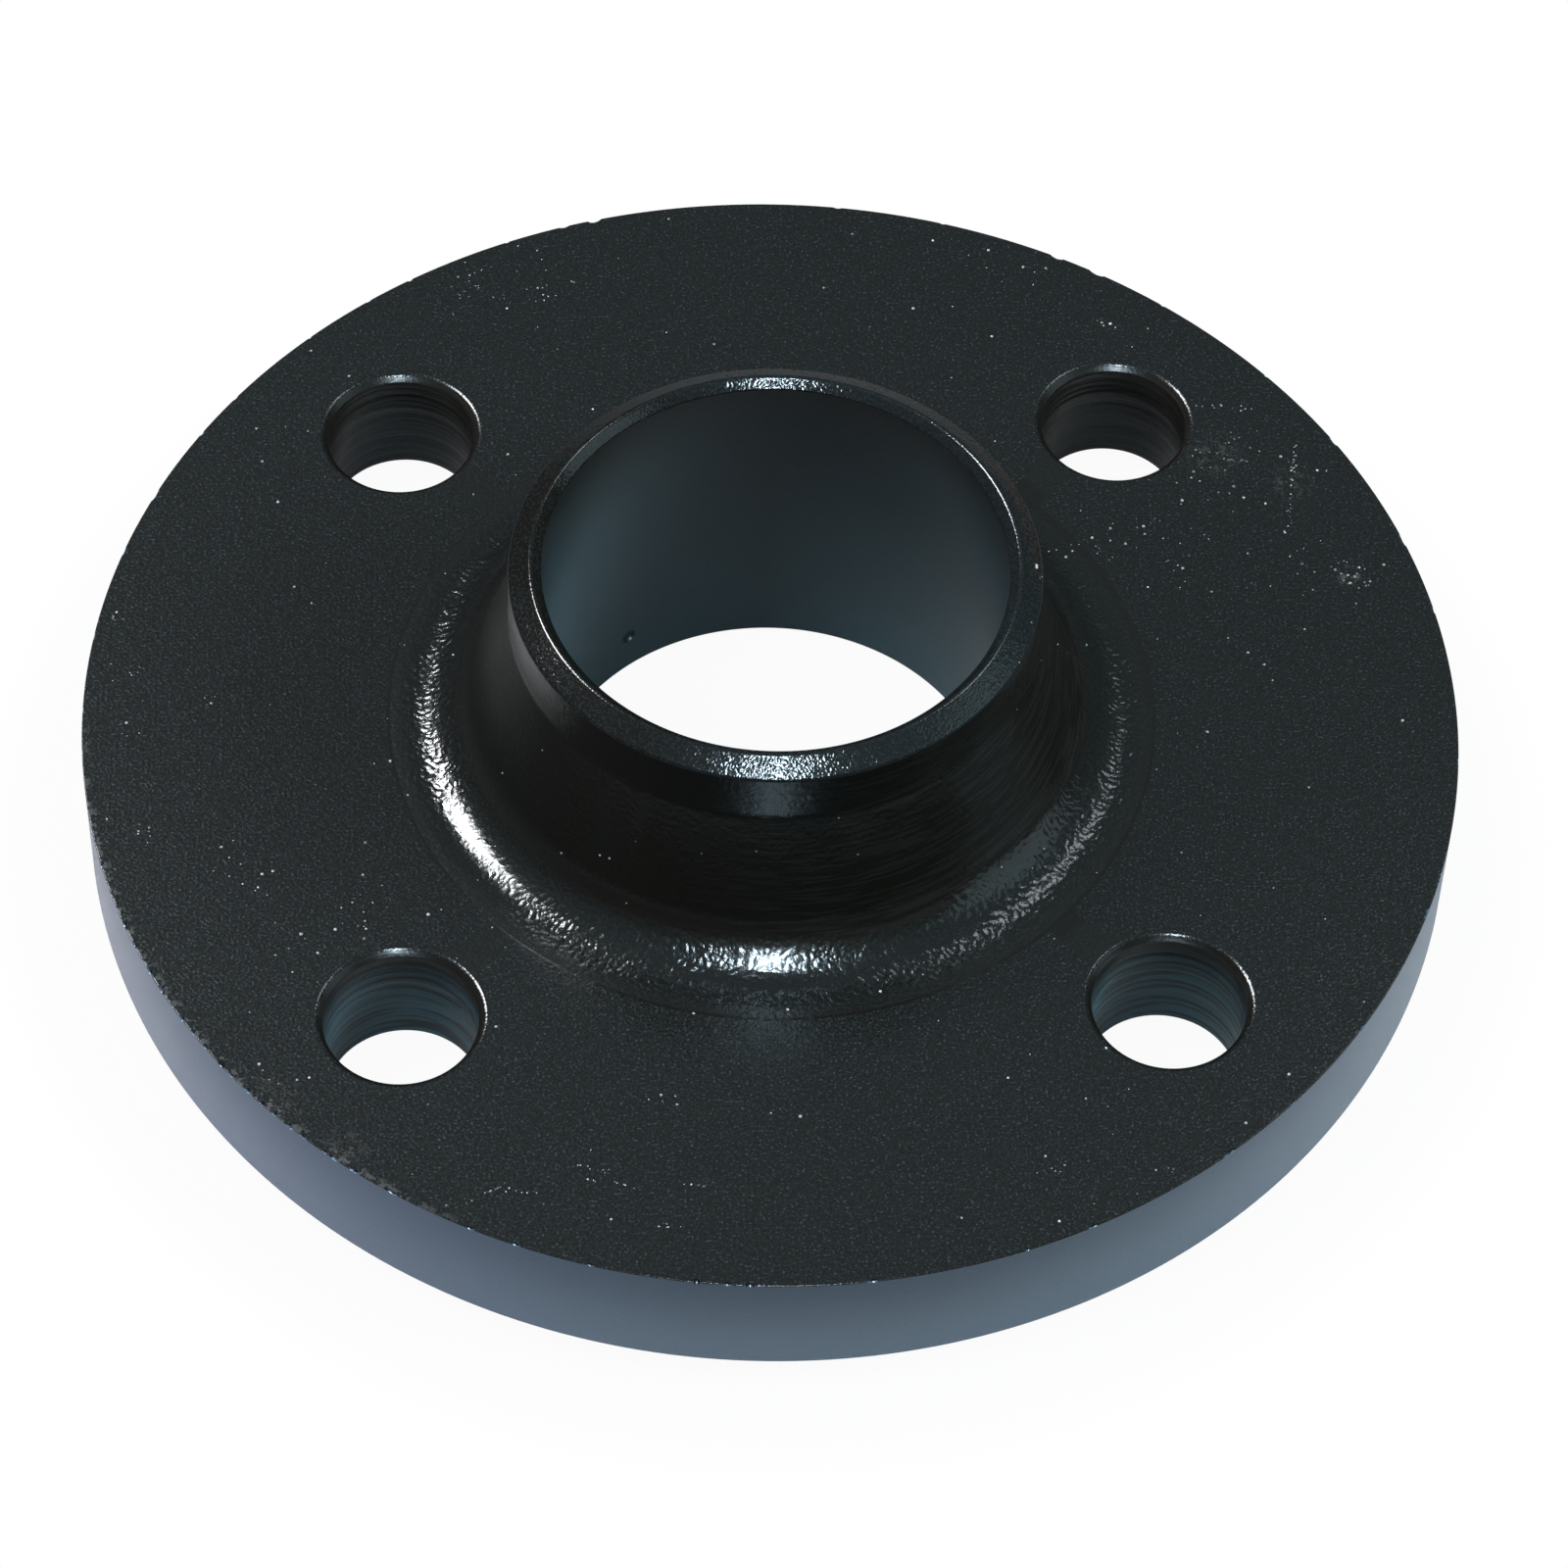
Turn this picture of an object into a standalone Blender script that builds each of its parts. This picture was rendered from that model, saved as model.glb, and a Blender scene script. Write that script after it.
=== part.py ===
"""Weld neck flange, forged in one piece and turned: a drilled plate with a raised sealing face below,
and a hub that tapers up to a bevelled weld end. The axis is Z, and the sealing face lies at Z = 0."""

import math

import bmesh
import bpy
from mathutils import Matrix, Vector

# Plate and raised sealing face
FLANGE_DIAMETER = 0.164
RIM_THICKNESS = 0.0158
RIM_EDGE_BREAK = 0.0003
RAISED_FACE_DIAMETER = 0.102
RAISED_FACE_HEIGHT = 0.003
RAISED_FACE_EDGE_BREAK = 0.0003

# Bore, as wide as the pipe's, with its edge broken at the sealing face
BORE_DIAMETER = 0.0544
BORE_FACE_BREAK = 0.0005

# Hub: the cone would meet the plate at the hub diameter, and the fillet rounds that corner
OVERALL_HEIGHT = 0.0461
WALL_THICKNESS = 0.0039
NECK_LENGTH = 0.0083
HUB_DIAMETER = 0.074
HUB_FILLET_RADIUS = 0.0075

# Weld end: a chamfer up from the bore, a narrow flat land, then a bevel down to the neck
BORE_CHAMFER_WIDTH = 0.0011
BORE_CHAMFER_ANGLE = math.radians(42)
LAND_WIDTH = 0.0004
BEVEL_ANGLE = math.radians(33)

# Bolt holes, which straddle the X and Y axes, on a circle that keeps its distance from the rim
BOLT_HOLE_CENTRE_TO_RIM = 0.0195
BOLT_HOLE_COUNT = 4
BOLT_HOLE_DIAMETER = 0.018
HOLE_BACK_BREAK = 0.0007
HOLE_FRONT_BREAK = 0.0003
CUT_PAST_FACE = 0.0005

# Facets round each circle, and along the fillet's arc
TURNED_STEPS = 128
HOLE_STEPS = 48
FILLET_STEPS = 10
SMOOTH_BELOW = math.radians(20)

# Black varnish over steel
COATING_COLOUR = (0.017, 0.021, 0.024, 1.0)
COATING_ROUGHNESS = 0.45

NECK_DIAMETER = BORE_DIAMETER + 2 * WALL_THICKNESS
BOLT_CIRCLE_DIAMETER = FLANGE_DIAMETER - 2 * BOLT_HOLE_CENTRE_TO_RIM
RIM_FRONT = RAISED_FACE_HEIGHT
PLATE_BACK = RAISED_FACE_HEIGHT + RIM_THICKNESS


def clear_scene():
    for item in list(bpy.data.objects):
        bpy.data.objects.remove(item, do_unlink=True)


def weld_end_outline():
    """Radius and height down the weld end, from the bore to the foot of the straight neck."""
    bore = BORE_DIAMETER / 2
    neck = NECK_DIAMETER / 2
    land_start = bore + BORE_CHAMFER_WIDTH
    land_end = land_start + LAND_WIDTH
    chamfer_drop = BORE_CHAMFER_WIDTH * math.tan(BORE_CHAMFER_ANGLE)
    bevel_drop = (neck - land_end) * math.tan(BEVEL_ANGLE)
    return [
        (bore, OVERALL_HEIGHT - chamfer_drop),
        (land_start, OVERALL_HEIGHT),
        (land_end, OVERALL_HEIGHT),
        (neck, OVERALL_HEIGHT - bevel_drop),
        (neck, OVERALL_HEIGHT - NECK_LENGTH),
    ]


def hub_fillet_outline():
    """Arc that is tangent to the hub's cone above and to the plate's back below."""
    hub = HUB_DIAMETER / 2
    cone_run = hub - NECK_DIAMETER / 2
    cone_height = OVERALL_HEIGHT - NECK_LENGTH - PLATE_BACK
    cone_lean = math.atan2(cone_run, cone_height)
    turn = math.pi / 2 - cone_lean
    centre_radius = hub + HUB_FILLET_RADIUS * math.tan(turn / 2)
    centre_height = PLATE_BACK + HUB_FILLET_RADIUS
    outline = []
    for step in range(FILLET_STEPS + 1):
        angle = cone_lean + turn * step / FILLET_STEPS
        radius = centre_radius - HUB_FILLET_RADIUS * math.cos(angle)
        height = centre_height - HUB_FILLET_RADIUS * math.sin(angle)
        outline.append((radius, height))
    return outline


def plate_outline():
    """Round the rim from the plate's back to the sealing face and the bore."""
    rim = FLANGE_DIAMETER / 2
    raised = RAISED_FACE_DIAMETER / 2
    bore = BORE_DIAMETER / 2
    return [
        (rim - RIM_EDGE_BREAK, PLATE_BACK),
        (rim, PLATE_BACK - RIM_EDGE_BREAK),
        (rim, RIM_FRONT + RIM_EDGE_BREAK),
        (rim - RIM_EDGE_BREAK, RIM_FRONT),
        (raised, RIM_FRONT),
        (raised, RAISED_FACE_EDGE_BREAK),
        (raised - RAISED_FACE_EDGE_BREAK, 0.0),
        (bore + BORE_FACE_BREAK, 0.0),
        (bore, BORE_FACE_BREAK),
    ]


def hole_cutter_outline():
    """Bolt hole's outline from below, wider past both faces so that the hole's edges are broken there.
    It starts below the sealing face and ends level with the top of the fillet, so a hole always goes through."""
    hole = BOLT_HOLE_DIAMETER / 2
    front = hole + HOLE_FRONT_BREAK + CUT_PAST_FACE
    back = hole + HOLE_BACK_BREAK + CUT_PAST_FACE
    bottom = -CUT_PAST_FACE
    top = PLATE_BACK + HUB_FILLET_RADIUS
    return [
        (0.0, bottom),
        (front, bottom),
        (front, RIM_FRONT - CUT_PAST_FACE),
        (hole, RIM_FRONT + HOLE_FRONT_BREAK),
        (hole, PLATE_BACK - HOLE_BACK_BREAK),
        (back, PLATE_BACK + CUT_PAST_FACE),
        (back, top),
        (0.0, top),
    ]


def revolve(name, outline, steps, closed):
    """Turns an outline of (radius, height) points about Z into one solid."""
    shape = bmesh.new()
    points = [shape.verts.new((radius, 0.0, height)) for radius, height in outline]
    edges = [shape.edges.new(pair) for pair in zip(points, points[1:])]
    if closed:
        edges.append(shape.edges.new((points[-1], points[0])))
    bmesh.ops.spin(
        shape,
        geom=points + edges,
        cent=Vector(),
        axis=Vector((0.0, 0.0, 1.0)),
        angle=math.tau,
        steps=steps,
        use_merge=True,
    )
    bmesh.ops.remove_doubles(shape, verts=shape.verts[:], dist=1e-7)
    bmesh.ops.recalc_face_normals(shape, faces=shape.faces[:])
    mesh = bpy.data.meshes.new(name)
    shape.to_mesh(mesh)
    shape.free()
    mesh.shade_smooth()
    mesh.set_sharp_from_angle(angle=SMOOTH_BELOW)
    solid = bpy.data.objects.new(name, mesh)
    bpy.context.scene.collection.objects.link(solid)
    return solid


def bolt_hole_cutters():
    """One cutter for each bolt hole, half a pitch round from the X axis."""
    pitch = math.tau / BOLT_HOLE_COUNT
    to_circle = Matrix.Translation((BOLT_CIRCLE_DIAMETER / 2, 0.0, 0.0))
    cutters = []
    for index in range(BOLT_HOLE_COUNT):
        cutter = revolve(f"bolt_hole_cutter_{index + 1}", hole_cutter_outline(), HOLE_STEPS, closed=False)
        cutter.matrix_world = Matrix.Rotation((index + 0.5) * pitch, 4, "Z") @ to_circle
        cutter.hide_render = True
        cutter.display_type = "WIRE"
        cutters.append(cutter)
    return cutters


def cut(solid, cutter):
    boolean = solid.modifiers.new(cutter.name, "BOOLEAN")
    boolean.operation = "DIFFERENCE"
    boolean.solver = "EXACT"
    boolean.object = cutter


def coating():
    material = bpy.data.materials.new("black_varnish")
    material.use_nodes = True
    shader = material.node_tree.nodes["Principled BSDF"]
    shader.inputs["Base Color"].default_value = COATING_COLOUR
    shader.inputs["Roughness"].default_value = COATING_ROUGHNESS
    shader.inputs["Metallic"].default_value = 0.0
    return material


clear_scene()
section = weld_end_outline() + hub_fillet_outline() + plate_outline()
flange = revolve("weld_neck_flange", section, TURNED_STEPS, closed=True)
for hole_cutter in bolt_hole_cutters():
    cut(flange, hole_cutter)
flange.data.materials.append(coating())
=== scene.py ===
import math
import random

import bmesh
import bpy
from mathutils import Matrix, Vector
from mathutils.bvhtree import BVHTree


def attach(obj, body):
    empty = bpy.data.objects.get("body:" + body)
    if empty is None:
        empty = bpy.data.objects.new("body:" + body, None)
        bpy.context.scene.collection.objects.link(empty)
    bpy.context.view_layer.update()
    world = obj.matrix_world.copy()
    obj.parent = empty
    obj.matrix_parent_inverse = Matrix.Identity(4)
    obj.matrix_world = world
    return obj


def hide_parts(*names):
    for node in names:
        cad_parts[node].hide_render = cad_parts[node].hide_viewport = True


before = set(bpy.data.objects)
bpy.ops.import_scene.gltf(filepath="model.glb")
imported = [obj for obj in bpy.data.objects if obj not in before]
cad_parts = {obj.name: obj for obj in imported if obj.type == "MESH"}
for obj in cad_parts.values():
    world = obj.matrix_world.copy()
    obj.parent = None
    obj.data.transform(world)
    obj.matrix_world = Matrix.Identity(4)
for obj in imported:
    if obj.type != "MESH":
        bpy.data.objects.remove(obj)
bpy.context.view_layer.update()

# Flange forging: one piece of carbon steel, hot forged and then turned on a lathe. A section is drawn from
# the bore over the weld end, the hub and the rim to the raised sealing face, its corners are rounded, and it
# is spun. The tool has left a shallow ring near the hub's foot, and fine grooves round the sealing face.
BORE_RADIUS = 0.0272
BORE_CHAMFER_DROP = 0.00099
BORE_CHAMFER_DEGREES = 42
CREST_MIDDLE = 0.02845
CREST_ROUNDING = 0.0005
CREST_STEP_DEGREES = 15
WELD_END = 0.0461
BEVEL_DEGREES = 33
BEVEL_DROP = 0.00156
NECK_RADIUS = 0.0311
NECK_FOOT = 0.0378
HUB_RADIUS = 0.037
FILLET_TANGENT = 0.00579
TOOL_RING = [(0.0440, 0.0), (0.0451, 0.00002), (0.0454, 0.00005), (0.0457, 0.00005), (0.0459, 0.0)]
PLATE_BACK = 0.0188
RIM_RADIUS = 0.082
SEALING_RADIUS = 0.051
SEALING_HEIGHT = 0.003
GROOVES_FROM_EDGE = 0.0012
GROOVES_FROM_BORE = 0.0025
GROOVE_PITCH = 0.0008
GROOVE_WIDTH = 0.0004
GROOVE_DEPTH = 0.00004
TURNED_STEPS = 288


def spin_round(outline, steps):
    """Spins an outline about Z into a skin whose faces point outwards."""
    bmesh.ops.spin(
        outline,
        geom=outline.verts[:] + outline.edges[:],
        cent=Vector(),
        axis=Vector((0.0, 0.0, 1.0)),
        angle=math.tau,
        steps=steps,
        use_merge=True,
    )
    bmesh.ops.remove_doubles(outline, verts=outline.verts[:], dist=1e-6)
    bmesh.ops.recalc_face_normals(outline, faces=outline.faces[:])


def into_scene(name, shape):
    """Adds the shape to the scene as a mesh object."""
    mesh = bpy.data.meshes.new(name)
    shape.to_mesh(mesh)
    added = bpy.data.objects.new(name, mesh)
    bpy.context.scene.collection.objects.link(added)
    return added


# Each corner has its radius and height, then the size and the facets of its rounding
section_corners = [(BORE_RADIUS, WELD_END - BORE_CHAMFER_DROP, 0.00015, 3)]
for degrees in range(-BORE_CHAMFER_DEGREES, BEVEL_DEGREES + 1, CREST_STEP_DEGREES):
    lean = math.radians(degrees)
    crest_radius = CREST_MIDDLE + CREST_ROUNDING * math.sin(lean)
    section_corners.append((crest_radius, WELD_END - CREST_ROUNDING * (1 - math.cos(lean)), 0, 0))
section_corners += [
    (NECK_RADIUS, WELD_END - BEVEL_DROP, 0.0003, 4),
    (NECK_RADIUS, NECK_FOOT, 0.0006, 5),
    (HUB_RADIUS, PLATE_BACK, FILLET_TANGENT, 16),
]
section_corners += [(radius, PLATE_BACK - depth, 0, 0) for radius, depth in TOOL_RING]
section_corners += [
    (RIM_RADIUS, PLATE_BACK, 0.00012, 3),
    (RIM_RADIUS, SEALING_HEIGHT, 0.0003, 4),
    (SEALING_RADIUS, SEALING_HEIGHT, 0.0004, 4),
    (SEALING_RADIUS, 0.0, 0.0003, 4),
]
groove = SEALING_RADIUS - GROOVES_FROM_EDGE
while groove > BORE_RADIUS + GROOVES_FROM_BORE:
    section_corners.append((groove, 0.0, 0, 0))
    section_corners.append((groove - GROOVE_WIDTH, GROOVE_DEPTH, 0, 0))
    groove -= GROOVE_PITCH
section_corners.append((groove, 0.0, 0, 0))
section_corners.append((BORE_RADIUS, 0.0, 0.0005, 4))

section = bmesh.new()
corners = [section.verts.new((radius, 0.0, height)) for radius, height, rounding, facets in section_corners]
for first, second in zip(corners, corners[1:] + corners[:1]):
    section.edges.new((first, second))
for corner, (radius, height, rounding, facets) in zip(corners, section_corners):
    if rounding:
        bmesh.ops.bevel(
            section,
            geom=[corner],
            offset=rounding,
            offset_type="OFFSET",
            segments=facets,
            profile=0.5,
            affect="VERTICES",
            material=-1,
        )
spin_round(section, TURNED_STEPS)
forging = into_scene("flange_forging", section)
section.free()

# Bolt holes: four, drilled right through the plate on one circle. The drill has left uneven ridges round
# each wall, and both edges are broken. The one at the plate's back is wider and rolled over.
HOLE_RADIUS = 0.009
HOLE_CIRCLE_RADIUS = 0.0625
HOLE_COUNT = 4
DRILL_PAST_FACE = 0.001
FRONT_FLARE = 0.0035
FRONT_EDGE = (0.0004, 0.00005)
HOLE_FRONT_BREAK = 0.0003
HOLE_BACK_BREAK = 0.0007
BACK_EDGE = [(0.00048, 0.00022), (0.00060, 0.00012), (0.00074, 0.00005), (0.00090, 0.00001)]
BACK_FLARE = 0.0012
RIDGES_FROM_BREAK = 0.0004
RIDGE_DEPTH = (-0.00008, 0.00012)
RIDGE_PITCH = (0.0004, 0.0011)
HOLE_STEPS = 96

ridge_dice = random.Random(18)
drill_outline = [
    (0.0, -DRILL_PAST_FACE),
    (HOLE_RADIUS + FRONT_FLARE, -DRILL_PAST_FACE),
    (HOLE_RADIUS + FRONT_EDGE[0], SEALING_HEIGHT - FRONT_EDGE[1]),
    (HOLE_RADIUS, SEALING_HEIGHT + HOLE_FRONT_BREAK),
]
height = SEALING_HEIGHT + HOLE_FRONT_BREAK + RIDGES_FROM_BREAK
while height < PLATE_BACK - HOLE_BACK_BREAK - RIDGES_FROM_BREAK:
    drill_outline.append((HOLE_RADIUS + ridge_dice.uniform(*RIDGE_DEPTH), height))
    height += ridge_dice.uniform(*RIDGE_PITCH)
drill_outline.append((HOLE_RADIUS, PLATE_BACK - HOLE_BACK_BREAK))
drill_outline += [(HOLE_RADIUS + out, PLATE_BACK - down) for out, down in BACK_EDGE]
drill_outline.append((HOLE_RADIUS + BACK_FLARE, PLATE_BACK + DRILL_PAST_FACE))
drill_outline.append((0.0, PLATE_BACK + DRILL_PAST_FACE))

drill = bmesh.new()
drill_points = [drill.verts.new((radius, 0.0, height)) for radius, height in drill_outline]
for first, second in zip(drill_points, drill_points[1:]):
    drill.edges.new((first, second))
spin_round(drill, HOLE_STEPS)
cutters = []
for index in range(HOLE_COUNT):
    cutter = into_scene(f"drill_{index + 1}", drill)
    around = Matrix.Rotation((index + 0.5) * math.tau / HOLE_COUNT, 4, "Z")
    cutter.data.transform(around @ Matrix.Translation((HOLE_CIRCLE_RADIUS, 0.0, 0.0)))
    cutters.append(cutter)
drill.free()

# Knocks: small nicks that handling has left in the edge of the rim's back, close together on the near left,
# and one pit in the bore. Each is cut out by a small ball. An arc has its two ends in degrees and its count.
KNOCKED_ARCS = [(189, 234, 26), (234, 256, 4), (262, 330, 7), (336, 344, 3), (350, 450, 9), (102, 188, 12)]
PLACED_NICKS = [(262.0, 0.0009), (264.4, 0.0007), (103.8, 0.0011), (57.6, 0.0009)]
NICK_SIZE = (0.0004, 0.0009)
NICK_SPACING = (0.25, 0.75)
NICK_STRETCH = (0.8, 1.6)
NICK_HEIGHT_SHARE = 0.8
NICK_OUT_SHARE = 0.35
NICK_UP_SHARE = 0.25
PIT_ANGLE = math.radians(127.5)
PIT_HEIGHT = 0.006
PIT_INWARD = 0.0004
PIT_SIZE = 0.0011
SHARP_FROM = math.radians(32)

nick_dice = random.Random(4)
nick_places = list(PLACED_NICKS)
for start, end, count in KNOCKED_ARCS:
    step = (end - start) / count
    for index in range(count):
        degrees = start + step * (index + nick_dice.uniform(*NICK_SPACING))
        nick_places.append((degrees, nick_dice.uniform(*NICK_SIZE)))
nicks = bmesh.new()
for degrees, size in nick_places:
    around = Matrix.Rotation(math.radians(degrees), 4, "Z")
    at_edge = (RIM_RADIUS + size * NICK_OUT_SHARE, 0.0, PLATE_BACK + size * NICK_UP_SHARE)
    drawn_out = Matrix.Diagonal((1.0, nick_dice.uniform(*NICK_STRETCH), NICK_HEIGHT_SHARE, 1.0))
    nick = around @ Matrix.Translation(at_edge) @ drawn_out
    bmesh.ops.create_icosphere(nicks, subdivisions=2, radius=size, matrix=nick)
pit = Matrix.Rotation(PIT_ANGLE, 4, "Z") @ Matrix.Translation((BORE_RADIUS - PIT_INWARD, 0.0, PIT_HEIGHT))
bmesh.ops.create_icosphere(nicks, subdivisions=2, radius=PIT_SIZE, matrix=pit)
cutters.append(into_scene("nicks", nicks))
nicks.free()

for cutter in cutters:
    boolean = forging.modifiers.new(cutter.name, "BOOLEAN")
    boolean.operation = "DIFFERENCE"
    boolean.solver = "EXACT"
    boolean.object = cutter
undrilled = forging.data
undrilled.shade_smooth()
bpy.context.view_layer.update()
drilled = bpy.data.meshes.new_from_object(forging.evaluated_get(bpy.context.evaluated_depsgraph_get()))
drilled.name = "flange_forging_drilled"
forging.modifiers.clear()
forging.data = drilled
bpy.data.meshes.remove(undrilled)
for cutter in cutters:
    bpy.data.meshes.remove(cutter.data)
drilled.shade_smooth()
drilled.set_sharp_from_angle(angle=SHARP_FROM)
weighted = forging.modifiers.new("even_shading", "WEIGHTED_NORMAL")
weighted.keep_sharp = True


# Black varnish: one thin coat on all faces of the forging, dipped and dried. Over the turned rim it is
# blue-grey, partly the steel through a thinner coat and partly a painted reflection of the floor. It is
# granular over the forged ring and on the weld end. Each zone of the forging has its own mix, worked out in
# millimetres from the axis and from the sealing face.
class Wire:
    """One output of a shader node. Arithmetic on it adds Math nodes, and node() adds a node of any kind."""

    def __init__(self, socket):
        self.socket = socket

    def node(self, kind, settings, sockets, output=0):
        tree = self.socket.id_data
        added = tree.nodes.new(kind)
        for name, value in settings.items():
            setattr(added, name, value)
        for name, value in sockets.items():
            if isinstance(value, Wire):
                tree.links.new(value.socket, added.inputs[name])
            else:
                added.inputs[name].default_value = value
        return Wire(added.outputs[output])

    def beside(self, output):
        """Another output of the same node."""
        return Wire(self.socket.node.outputs[output])

    def math(self, operation, first, second):
        return self.node("ShaderNodeMath", {"operation": operation}, {0: first, 1: second})

    def __add__(self, other):
        return self.math("ADD", self, other)

    def __radd__(self, other):
        return self.math("ADD", other, self)

    def __sub__(self, other):
        return self.math("SUBTRACT", self, other)

    def __rsub__(self, other):
        return self.math("SUBTRACT", other, self)

    def __mul__(self, other):
        return self.math("MULTIPLY", self, other)

    def __rmul__(self, other):
        return self.math("MULTIPLY", other, self)

    def __truediv__(self, other):
        return self.math("DIVIDE", self, other)

    def __pow__(self, other):
        return self.math("POWER", self, other)

    def __abs__(self):
        return self.math("ABSOLUTE", self, 0.0)


def rise(value, low, high):
    """0 below low, 1 above high, smooth between."""
    return value.node(
        "ShaderNodeMapRange",
        {"interpolation_type": "SMOOTHSTEP"},
        {"Value": value, "From Min": low, "From Max": high},
    )


def between(value, low, high, soft):
    """1 between low and high, 0 outside, with soft edges."""
    return rise(value, low - soft, low + soft) * (1.0 - rise(value, high - soft, high + soft))


def noise(vector, scale, detail):
    return vector.node("ShaderNodeTexNoise", {}, {"Vector": vector, "Scale": scale, "Detail": detail})


def distance(vector, spot):
    return vector.node("ShaderNodeVectorMath", {"operation": "DISTANCE"}, {0: vector, 1: spot}, output=1)


def colour_mix(share, first, second):
    settings = {"data_type": "RGBA", "clamp_factor": True}
    return share.node("ShaderNodeMix", settings, {0: share, 6: first, 7: second}, output=2)


def wear(shader, finish):
    """Links or sets the sockets of a shader."""
    for name, value in finish.items():
        if isinstance(value, Wire):
            shader.id_data.links.new(value.socket, shader.inputs[name])
        else:
            shader.inputs[name].default_value = value


def varnish(name):
    """A new zone of the coat: its shader, the place in millimetres, that place's parts, and the grain."""
    material = bpy.data.materials.new(name)
    material.use_nodes = True
    shader = material.node_tree.nodes["Principled BSDF"]
    wear(shader, {"IOR": 1.5, "Specular Tint": (0.72, 0.92, 1.0, 1.0)})
    metres = Wire(material.node_tree.nodes.new("ShaderNodeTexCoord").outputs["Object"])
    place = metres.node("ShaderNodeVectorMath", {"operation": "SCALE"}, {0: metres, 3: 1000.0})
    x = place.node("ShaderNodeSeparateXYZ", {}, {0: place})
    drilled.materials.append(material)
    return shader, place, (x, x.beside(1), x.beside(2)), noise(place, 3.2, 1.0)


def round_axis(x, y, z, radius):
    """A place that turns with the surface, so that a noise on it runs in rings."""
    return x.node("ShaderNodeCombineXYZ", {}, {0: x / radius * 5.0, 1: y / radius * 5.0, 2: z})


def granulated(place, grain, fineness, depth, under=None):
    """Bump with granules. Fineness is about their count along a millimetre, and depth is in metres."""
    granules = abs(noise(place, fineness, 0.0) - 0.5)
    sockets = {"Height": granules + grain * 0.2, "Distance": depth, "Strength": 1.0}
    if under is not None:
        sockets["Normal"] = under
    return place.node("ShaderNodeBump", {}, sockets)


BLACK = (0.0086, 0.0079, 0.0052, 1.0)
GREY_GRAIN = (0.0148, 0.0238, 0.0285, 1.0)
drilled.materials.clear()

# Plate's varnish: finely grained all over, with faint scratches, rubbed places near the rim, and an edge that
# is worn on the near left. Each scuff has its place in millimetres, its reach and its share.
RUBBED = (0.120, 0.125, 0.125, 1.0)
PALE_GRAIN = (0.055, 0.075, 0.085, 1.0)
PLATE_BACK_MM = 18.8
SCUFFS = [
    (-58.5, -55.3, 4.5, 0.9),
    (-50.4, -62.1, 3.5, 0.9),
    (56.5, 38.6, 5.0, 0.8),
    (65.6, 33.5, 4.0, 0.9),
    (71.0, 18.7, 2.2, 2.0),
]
shader, place, (x, y, z), grain = varnish("varnish_on_plate")
radius = (x * x + y * y) ** 0.5
rubbed = 0.0
for spot_x, spot_y, reach, share in SCUFFS:
    away = distance(place, (spot_x, spot_y, PLATE_BACK_MM))
    rubbed = (1.0 - rise(away, reach * 0.2, reach)) * share + rubbed
torn = noise(place, 0.9, 1.0)
scratch = 1.0 - rise(abs(torn - 0.5), 0.004, 0.016)
smear = rise(torn + grain * 0.25, 0.68, 0.76)
near_left = 1.0 - rise(x + y * 0.6, -88.0, -78.0)
worn_edge = rise(radius, 80.7, 81.6) * rise(torn + grain * 0.3, 0.66, 0.76) * near_left
scuff = rubbed * (scratch * 0.5 + smear * 0.35) + worn_edge * 0.7
coat = colour_mix(0.15 + rise(grain, 0.40, 0.70) * 0.7, BLACK, GREY_GRAIN)
coat = colour_mix(rise(grain, 0.64, 0.76), coat, PALE_GRAIN)
wear(
    shader,
    {
        "Base Color": colour_mix(scuff, coat, RUBBED),
        "Roughness": 0.12 + grain * 0.16,
        "Normal": granulated(place, grain, 1.6, 0.00005),
    },
)

# Hub's varnish: streaked round the turned walls, with painted shade on their left, and granular over the
# forged ring at their foot, apart from two smooth places. A darker ring of painted shade lies outside it on
# the near and right sides.
STREAKED = (0.0172, 0.0168, 0.0150, 1.0)
PAINTED_SHADE = (0.0020, 0.0020, 0.0015, 1.0)
SMOOTH_PLACES_MM = 19.8
SMOOTH_PLACES = [(-1.4, -38.5, 2.5, 5.5), (-33.5, -21.5, 6.0, 12.0)]
shader, place, (x, y, z), grain = varnish("varnish_on_hub")
radius = (x * x + y * y) ** 0.5
on_wall = rise(z, 20.0, 22.0)
forged_ring = between(radius, 37.2, 43.8, 0.9) * (1.0 - rise(z, 22.0, 25.0))
smooth = 0.0
for spot_x, spot_y, inner, outer in SMOOTH_PLACES:
    smooth = 1.0 - rise(distance(place, (spot_x, spot_y, SMOOTH_PLACES_MM)), inner, outer) + smooth
turned = noise(round_axis(x, y, z * 3.0 + radius, radius), 1.0, 1.0)
rings = turned.node("ShaderNodeBump", {}, {"Height": turned, "Distance": 0.000008, "Strength": on_wall})
# Painted shade: the turned walls are mixed towards near-black on their left.
shaded_side = 1.0 - rise(x, -33.0, -18.0)
# A darker ring outside the forged ring, on the near and right sides, is painted shade round the hub's foot.
hub_foot_shade = between(radius, 44.9, 47.8, 0.7) * rise(x - y * 0.5, -8.0, 4.0)
grey_share = (0.25 + rise(grain, 0.44, 0.74) * 0.5) * (1.0 - on_wall * 0.8) * (1.0 - hub_foot_shade * 0.6)
coat = colour_mix(on_wall * shaded_side * 0.7, colour_mix(grey_share, BLACK, GREY_GRAIN), PAINTED_SHADE)
granule_depth = 0.00005 + forged_ring * (1.0 - smooth * 0.9) * 0.00010
wear(
    shader,
    {
        "Base Color": colour_mix(on_wall * rise(turned, 0.45, 0.62) * rise(x, -15.0, 5.0), coat, STREAKED),
        "Roughness": 0.14 - forged_ring * 0.05 + on_wall * shaded_side * 0.20 + grain * 0.12,
        "Normal": granulated(place, grain, 1.05, granule_depth, rings),
    },
)
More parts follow.
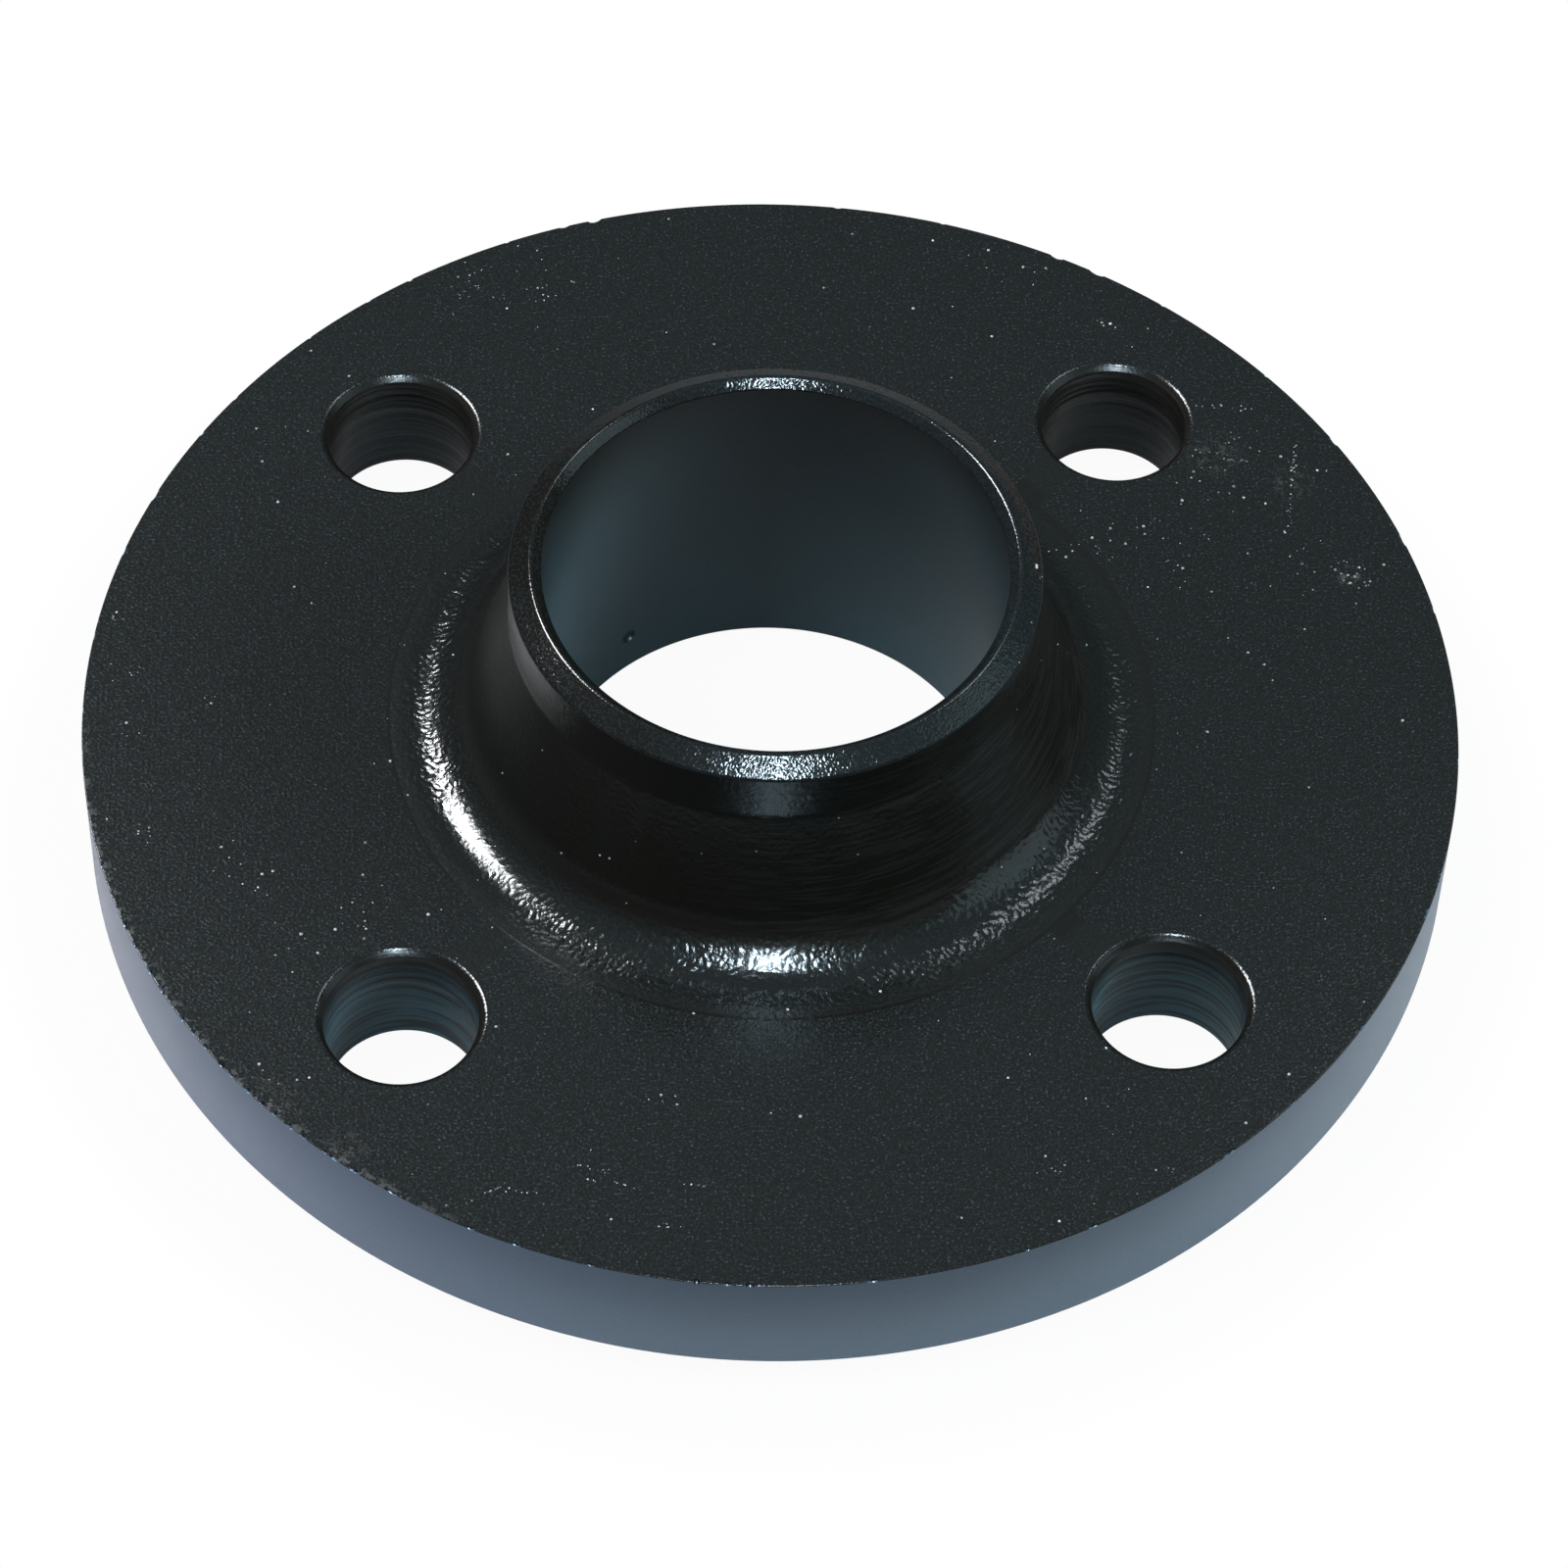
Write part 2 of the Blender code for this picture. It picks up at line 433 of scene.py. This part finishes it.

# Weld end's varnish: rough over the tool's marks, smooth on the crest, and with a painted brown reflection
# along part of the outer edge.
PAINTED_BROWN_REFLECTION = (0.045, 0.031, 0.024, 1.0)
shader, place, (x, y, z), grain = varnish("varnish_on_weld_end")
radius = (x * x + y * y) ** 0.5
crest = between(radius, 28.15, 28.75, 0.15)
# The coat is painted darker on the left of the weld end, as shade.
grey_side = rise(x, -18.0, -5.0)
# Painted reflection: a brown band along the outer edge on the far right.
brown_reflection_edge = rise(radius, 29.0, 29.6) * rise(x + y * 0.8, 22.0, 36.0)
coat = colour_mix(grey_side * 0.4 + rise(grain, 0.48, 0.68), BLACK, GREY_GRAIN)
granule_depth = 0.00003 + (1.0 - crest) * (0.3 + grey_side * 0.7) * 0.00005
wear(
    shader,
    {
        "Base Color": colour_mix(brown_reflection_edge * rise(grain, 0.40, 0.62) * 0.7, coat, PAINTED_BROWN_REFLECTION),
        "Roughness": 0.08 + grain * 0.12,
        "Normal": granulated(place, grain, 2.1, granule_depth),
    },
)

# Bore's varnish: smooth, with painted blue-green light on it, most of all low down and at both sides.
PAINTED_TEAL_LIGHT = (0.062, 0.160, 0.200, 1.0)
shader, place, (x, y, z), grain = varnish("varnish_in_bore")
coat = colour_mix(0.1 + rise(grain, 0.44, 0.74) * 0.2, BLACK, GREY_GRAIN)
wear(
    shader,
    {
        "Base Color": colour_mix((0.30 + abs(x) * 0.020 - x * 0.004) * (1.20 - z * 0.027), coat, PAINTED_TEAL_LIGHT),
        "Roughness": 0.29 + grain * 0.12,
        "Normal": granulated(place, grain, 1.5, 0.00003),
    },
)

# Bolt holes' varnish: thin enough to show the drill's rings. Low down in the two near holes it carries
# painted blue-green light, in bands along the rings that stand in for their shading.
shader, place, (x, y, z), grain = varnish("varnish_in_holes")
radius = (x * x + y * y) ** 0.5
turned = noise(round_axis(x, y, z * 1.1, radius), 1.0, 1.0)
low_and_near = (1.0 - rise(z, 11.0, 17.8)) * (1.0 - rise(y, -20.0, 20.0))
# Painted light: blue-green low in the near holes, in bands that stand in for the rings' shading.
painted_teal_share = (0.25 + rise(turned, 0.44, 0.52) * 0.75) * low_and_near
rings = turned.node("ShaderNodeBump", {}, {"Height": turned, "Distance": 0.00014, "Strength": 1.0})
wear(
    shader,
    {
        "Base Color": colour_mix(painted_teal_share, BLACK, PAINTED_TEAL_LIGHT),
        "Roughness": 0.24 + grain * 0.12,
        "Normal": granulated(place, grain, 1.5, 0.00003, rings),
    },
)

# Rim side's varnish: a thinner coat with a clear shine. Its blue-grey is partly the turned steel showing
# through and partly a painted reflection of the floor. Then each face gets the varnish of its zone.
STEEL_AND_PAINTED_REFLECTION = (0.067, 0.112, 0.178, 1.0)
shader, place, _, grain = varnish("varnish_on_rim_side")
wear(
    shader,
    {
        "Base Color": colour_mix(0.80 + grain * 0.25, BLACK, STEEL_AND_PAINTED_REFLECTION),
        "Roughness": 0.29 + grain * 0.12,
        "Normal": granulated(place, grain, 1.5, 0.00003),
        "Coat Weight": 1.0,
        "Coat Roughness": 0.25,
        "IOR": 1.8,
        "Specular Tint": (0.30, 0.75, 1.0, 1.0),
    },
)

ON_PLATE, ON_HUB, ON_WELD_END, IN_BORE, IN_HOLE, ON_RIM_SIDE = range(6)
HOLE_OFFSET = HOLE_CIRCLE_RADIUS * math.sqrt(0.5)
HOLE_ZONE_RADIUS = HOLE_RADIUS + 0.0005
LEVEL_FROM = 0.9
RIM_SIDE_RADIUS = RIM_RADIUS - 0.0001
RIM_SIDE_TOP = PLATE_BACK - 0.0001
BORE_ZONE_RADIUS = BORE_RADIUS + 0.0009
BORE_ZONE_FOOT = 0.0006
BORE_ZONE_TOP = WELD_END - BORE_CHAMFER_DROP - 0.0001
WELD_END_FOOT = WELD_END - BEVEL_DROP - 0.00015
HUB_ZONE_RADIUS = 0.0505
HUB_ZONE_FOOT = PLATE_BACK - 0.0003
for face in drilled.polygons:
    middle = face.center
    from_axis = math.hypot(middle.x, middle.y)
    from_hole = math.hypot(abs(middle.x) - HOLE_OFFSET, abs(middle.y) - HOLE_OFFSET)
    if from_hole < HOLE_ZONE_RADIUS and abs(face.normal.z) < LEVEL_FROM:
        face.material_index = IN_HOLE
    elif from_axis > RIM_SIDE_RADIUS and middle.z < RIM_SIDE_TOP:
        face.material_index = ON_RIM_SIDE
    elif from_axis < BORE_ZONE_RADIUS and BORE_ZONE_FOOT < middle.z < BORE_ZONE_TOP:
        face.material_index = IN_BORE
    elif middle.z > WELD_END_FOOT:
        face.material_index = ON_WELD_END
    elif from_axis < HUB_ZONE_RADIUS and middle.z > HUB_ZONE_FOOT:
        face.material_index = ON_HUB
    else:
        face.material_index = ON_PLATE

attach(forging, "root")
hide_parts("weld_neck_flange")

# Dust: specks that settled on the wet varnish, mostly on the plate's back, and dried into small hard lumps,
# half sunk in the coat. They lie in loose groups, each with its middle, spread and count, and in rows that a
# brush has drawn, each with its two ends and its count.
DUST_GROUPS = [
    (-0.0257, 0.0676, 0.0020, 16),
    (-0.0352, 0.0682, 0.0020, 18),
    (0.0385, 0.0252, 0.0030, 12),
    (0.0465, 0.0255, 0.0030, 16),
    (0.0520, 0.0330, 0.0035, 14),
    (0.0480, 0.0608, 0.0030, 7),
    (0.0320, 0.0700, 0.0040, 9),
    (0.0565, 0.0385, 0.0035, 22),
    (0.0712, 0.0188, 0.0016, 26),
    (0.0640, 0.0200, 0.0040, 8),
    (-0.0479, -0.0299, 0.0019, 14),
    (-0.0540, -0.0340, 0.0025, 8),
    (-0.0610, -0.0230, 0.0020, 10),
    (-0.0738, -0.0174, 0.0014, 10),
    (-0.0783, 0.0153, 0.0005, 5),
    (-0.0765, 0.0070, 0.0012, 6),
    (-0.0770, -0.0019, 0.0010, 5),
    (-0.0666, 0.0020, 0.0008, 4),
    (-0.0582, -0.0543, 0.0018, 9),
    (0.0430, -0.0673, 0.0014, 7),
    (0.0284, -0.0669, 0.0012, 4),
    (-0.0149, -0.0560, 0.0010, 5),
    (0.0498, 0.0208, 0.0008, 4),
    (0.0000, 0.0000, 0.0450, 260),
]
BRIGHT_SPECKS = [
    (0.0132, 0.0765),
    (0.0375, 0.0701),
    (0.0203, 0.0636),
    (0.0299, 0.0587),
    (-0.0554, 0.0580),
    (-0.0506, 0.0537),
    (-0.0620, 0.0453),
    (-0.0612, 0.0399),
    (0.0688, 0.0357),
    (0.0755, 0.0204),
    (0.0464, 0.0175),
    (0.0541, 0.0166),
    (0.0649, 0.0105),
    (0.0753, -0.0038),
    (0.0518, -0.0050),
    (-0.0786, -0.0150),
    (-0.0483, -0.0192),
    (-0.0557, -0.0323),
    (-0.0484, -0.0331),
    (0.0570, -0.0548),
    (0.0249, -0.0545),
    (-0.0023, -0.0587),
    (0.0515, -0.0614),
    (0.0185, -0.0734),
    (-0.0207, -0.0726),
    (-0.0391, -0.0703),
    (-0.0210, -0.0275),
    (-0.0199, -0.0282),
    (-0.0254, -0.0249),
]
BRUSHED_ROWS = [
    ((-0.0375, -0.0701), (-0.0312, -0.0671), 9),
    ((-0.0335, -0.0682), (-0.0282, -0.0688), 8),
    ((-0.0246, -0.0651), (-0.0210, -0.0663), 7),
    ((-0.0234, -0.0671), (-0.0179, -0.0682), 9),
    ((-0.0141, -0.0674), (-0.0101, -0.0685), 6),
    ((-0.0158, -0.0740), (-0.0130, -0.0736), 5),
    ((0.0667, 0.0409), (0.0640, 0.0255), 24),
    ((0.0661, 0.0385), (0.0652, 0.0307), 14),
    ((0.0540, 0.0468), (0.0619, 0.0458), 12),
    ((0.0532, 0.0397), (0.0600, 0.0375), 12),
]
SMALL_SPECK = (0.00007, 0.00012)
LARGE_SPECK = (0.00014, 0.00024)
LARGE_SHARE = 0.25
BRUSHED_SPECK = (0.00006, 0.00013)
BRUSHED_SCATTER = 0.0002
SPECK_HEIGHT_SHARE = 0.7
LEAST_RADIUS = 0.0295
GREATEST_RADIUS = RIM_RADIUS - 0.0005
LEAST_HEIGHT = PLATE_BACK - 0.0001
ABOVE_FLANGE = 0.1
# The pale colour of some specks is partly the dust's own and partly a painted glint.
DULL_DUST = (0.26, 0.28, 0.29, 1.0)
PALE_DUST_AND_GLINT = (0.86, 0.88, 0.90, 1.0)

dust_dice = random.Random(11)
specks = [(speck_x, speck_y, dust_dice.uniform(*LARGE_SPECK)) for speck_x, speck_y in BRIGHT_SPECKS]
for group_x, group_y, spread, count in DUST_GROUPS:
    for _ in range(count):
        size = dust_dice.uniform(*(LARGE_SPECK if dust_dice.random() < LARGE_SHARE else SMALL_SPECK))
        specks.append((dust_dice.gauss(group_x, spread), dust_dice.gauss(group_y, spread), size))
for (start_x, start_y), (end_x, end_y), count in BRUSHED_ROWS:
    for _ in range(count):
        along = dust_dice.random()
        speck_x = start_x + (end_x - start_x) * along + dust_dice.gauss(0.0, BRUSHED_SCATTER)
        speck_y = start_y + (end_y - start_y) * along + dust_dice.gauss(0.0, BRUSHED_SCATTER)
        specks.append((speck_x, speck_y, dust_dice.uniform(*BRUSHED_SPECK)))

surface = BVHTree.FromObject(forging, bpy.context.evaluated_depsgraph_get())
flattened = Matrix.Diagonal((1.0, 1.0, SPECK_HEIGHT_SHARE, 1.0))
dust_shape = bmesh.new()
for speck_x, speck_y, size in specks:
    if not LEAST_RADIUS < math.hypot(speck_x, speck_y) < GREATEST_RADIUS:
        continue
    spot, facing, _, _ = surface.ray_cast(Vector((speck_x, speck_y, ABOVE_FLANGE)), Vector((0.0, 0.0, -1.0)))
    if spot is None or spot.z < LEAST_HEIGHT:
        continue
    sunk = Matrix.Translation(spot) @ facing.to_track_quat("Z", "Y").to_matrix().to_4x4()
    bmesh.ops.create_icosphere(dust_shape, subdivisions=1, radius=size, matrix=sunk @ flattened)
dust = into_scene("dust_specks", dust_shape)
dust_shape.free()
dust.data.shade_smooth()
dusty = bpy.data.materials.new("varnished_dust")
dusty.use_nodes = True
dust_place = Wire(dusty.node_tree.nodes.new("ShaderNodeTexCoord").outputs["Object"])
paleness = rise(noise(dust_place, 700.0, 1.0), 0.35, 0.65)
wear(
    dusty.node_tree.nodes["Principled BSDF"],
    {"Base Color": colour_mix(paleness, DULL_DUST, PALE_DUST_AND_GLINT), "Roughness": 0.2 + paleness * 0.2},
)
dust.data.materials.append(dusty)

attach(dust, "root")

# Studio floor: white paper, which the flange stands on with its sealing face. The camera sees it white, with
# the flange's shadow near the rim.
FLOOR_SIZE = 3.0
BELOW_FLANGE = 0.0002
SHADOW_FADES = (0.084, 0.098)
PAPER_UNDER_FLANGE = (0.78, 0.80, 0.84, 1.0)
PAPER_AROUND = (0.14, 0.145, 0.15, 1.0)
SHADOW_SHARE = 0.05
MIRRORED_SHARE = 0.07

floor_shape = bmesh.new()
bmesh.ops.create_grid(floor_shape, x_segments=1, y_segments=1, size=FLOOR_SIZE / 2)
bmesh.ops.translate(floor_shape, verts=floor_shape.verts[:], vec=(0.0, 0.0, -BELOW_FLANGE))
floor = into_scene("floor", floor_shape)
floor_shape.free()
paper = bpy.data.materials.new("white_floor")
paper.use_nodes = True
paper.node_tree.nodes.clear()
floor_place = Wire(paper.node_tree.nodes.new("ShaderNodeTexCoord").outputs["Object"])
fading = rise(distance(floor_place, (0.0, 0.0, 0.0)), *SHADOW_FADES)
paper_colour = colour_mix(fading, PAPER_UNDER_FLANGE, PAPER_AROUND)
matt = fading.node("ShaderNodeBsdfDiffuse", {}, {"Color": paper_colour})
white = fading.node("ShaderNodeEmission", {}, {"Strength": 1.0})
camera_ray = fading.node("ShaderNodeLightPath", {}, {}, output="Is Camera Ray")
mirrored = camera_ray.beside("Is Glossy Ray") * MIRRORED_SHARE + camera_ray.beside("Is Transmission Ray")
white_share = camera_ray * (1.0 - SHADOW_SHARE + fading * SHADOW_SHARE) + mirrored
floor_look = fading.node("ShaderNodeMixShader", {}, {0: white_share, 1: matt, 2: white})
wear(paper.node_tree.nodes.new("ShaderNodeOutputMaterial"), {"Surface": floor_look})
floor.data.materials.append(paper)

# Studio room: plain grey walls, a little brighter overhead, which give a faint light from all sides. The
# camera sees them white.
CEILING_FROM = 0.3
CEILING_FULL = 0.85
WALL_STRENGTH = 0.06
CEILING_ADDS = 0.20
room = bpy.data.worlds.new("studio")
room.cycles.sampling_method = "NONE"
room.use_nodes = True
bpy.context.scene.world = room
outward = Wire(room.node_tree.nodes.new("ShaderNodeTexCoord").outputs["Generated"])
upward = outward.node("ShaderNodeSeparateXYZ", {}, {0: outward}, output=2)
room_strength = WALL_STRENGTH + rise(upward, CEILING_FROM, CEILING_FULL) * CEILING_ADDS
camera_ray = upward.node("ShaderNodeLightPath", {}, {}, output="Is Camera Ray")
seen_strength = camera_ray.node("ShaderNodeMix", {}, {0: camera_ray, 2: room_strength, 3: 1.0})
wear(room.node_tree.nodes["Background"], {"Color": (1.0, 1.0, 1.0, 1.0), "Strength": seen_strength})

# Lamps: soft rectangles that face the flange. The ones that its varnish mirrors are apart from the broad
# ones that light it. Each has its direction, distance, width, length, radiance, colour and task.
CAMERA_TURN = math.radians(-3.572)
MIRRORED, LIGHTING = "mirrored", "lighting"
LAMPS = [
    ("overhead_strip", (0.02, -0.55, 0.84), 1.1, 0.070, 0.52, 100.0, (0.98, 0.98, 1.02), MIRRORED),
    ("left_softbox", (-0.52, 0.35, 0.78), 1.2, 0.44, 0.34, 42.0, (1.16, 0.95, 0.90), MIRRORED),
    ("right_softbox", (0.39, 0.35, 0.85), 1.2, 0.32, 0.22, 8.0, (1.1, 0.95, 0.92), MIRRORED),
    ("right_card", (0.85, -0.10, 0.45), 1.3, 0.8, 0.8, 0.9, (0.9, 0.97, 1.0), MIRRORED),
    ("key", (-0.35, -0.05, 0.93), 1.3, 0.6, 0.6, 4.6, (1.0, 0.99, 0.98), LIGHTING),
    ("right_fill", (0.84, 0.0, 0.50), 1.3, 0.8, 0.5, 9.5, (0.84, 0.97, 1.0), LIGHTING),
    ("left_fill", (-0.94, -0.08, 0.22), 1.3, 0.8, 0.5, 9.5, (1.02, 0.95, 1.08), LIGHTING),
]
turn = Matrix.Rotation(CAMERA_TURN, 4, "Z")
for name, direction, distance_out, width, length, radiance, colour, task in LAMPS:
    lamp = bpy.data.lights.new(name, "AREA")
    lamp.shape = "RECTANGLE"
    lamp.size = width
    lamp.size_y = length
    lamp.energy = radiance * math.pi * width * length
    lamp.color = colour
    lamp.cycles.use_multiple_importance_sampling = task == MIRRORED
    holder = bpy.data.objects.new(name, lamp)
    holder.visible_glossy = task == MIRRORED
    holder.visible_diffuse = task == LIGHTING
    way = (turn @ Vector(direction).to_4d()).to_3d().normalized()
    holder.location = way * distance_out
    holder.rotation_euler = way.to_track_quat("Z", "Y").to_euler()
    bpy.context.scene.collection.objects.link(holder)

# Camera: it looks down on the weld end from a little to the left, as the photograph does. Its aim lies a few
# pixels off the middle of the photograph's frame.
CAMERA_ELEVATION = math.radians(51.594)
CAMERA_ROLL = math.radians(1.781)
CAMERA_DISTANCE = 0.708067
FRAME_PIXELS = 1600
FOCAL_PIXELS = 6052.757
AIM_X = math.atan(-15.148 / FOCAL_PIXELS)
AIM_Y = math.atan(78.308 / FOCAL_PIXELS)
SENSOR = 36.0

back = Vector((0.0, -math.cos(CAMERA_ELEVATION), math.sin(CAMERA_ELEVATION)))
right = Vector((1.0, 0.0, 0.0))
up = back.cross(right)
ahead = -back * math.cos(AIM_X) * math.cos(AIM_Y) - right * math.sin(AIM_X) - up * math.sin(AIM_Y)
ahead.normalize()
side = ahead.cross(up).normalized()
over = side.cross(ahead)
camera_x = side * math.cos(CAMERA_ROLL) + over * math.sin(CAMERA_ROLL)
camera_y = over * math.cos(CAMERA_ROLL) - side * math.sin(CAMERA_ROLL)
axes = Matrix((camera_x, camera_y, -ahead)).transposed().to_4x4()
camera_data = bpy.data.cameras.new("camera")
camera_data.sensor_width = SENSOR
camera_data.lens = FOCAL_PIXELS / FRAME_PIXELS * SENSOR
camera = bpy.data.objects.new("camera", camera_data)
standpoint = Vector((0.0, 0.0, PLATE_BACK)) + back * CAMERA_DISTANCE
camera.matrix_world = turn @ Matrix.Translation(standpoint) @ axes
bpy.context.scene.collection.objects.link(camera)
bpy.context.scene.camera = camera
bpy.context.scene.view_settings.view_transform = "Standard"
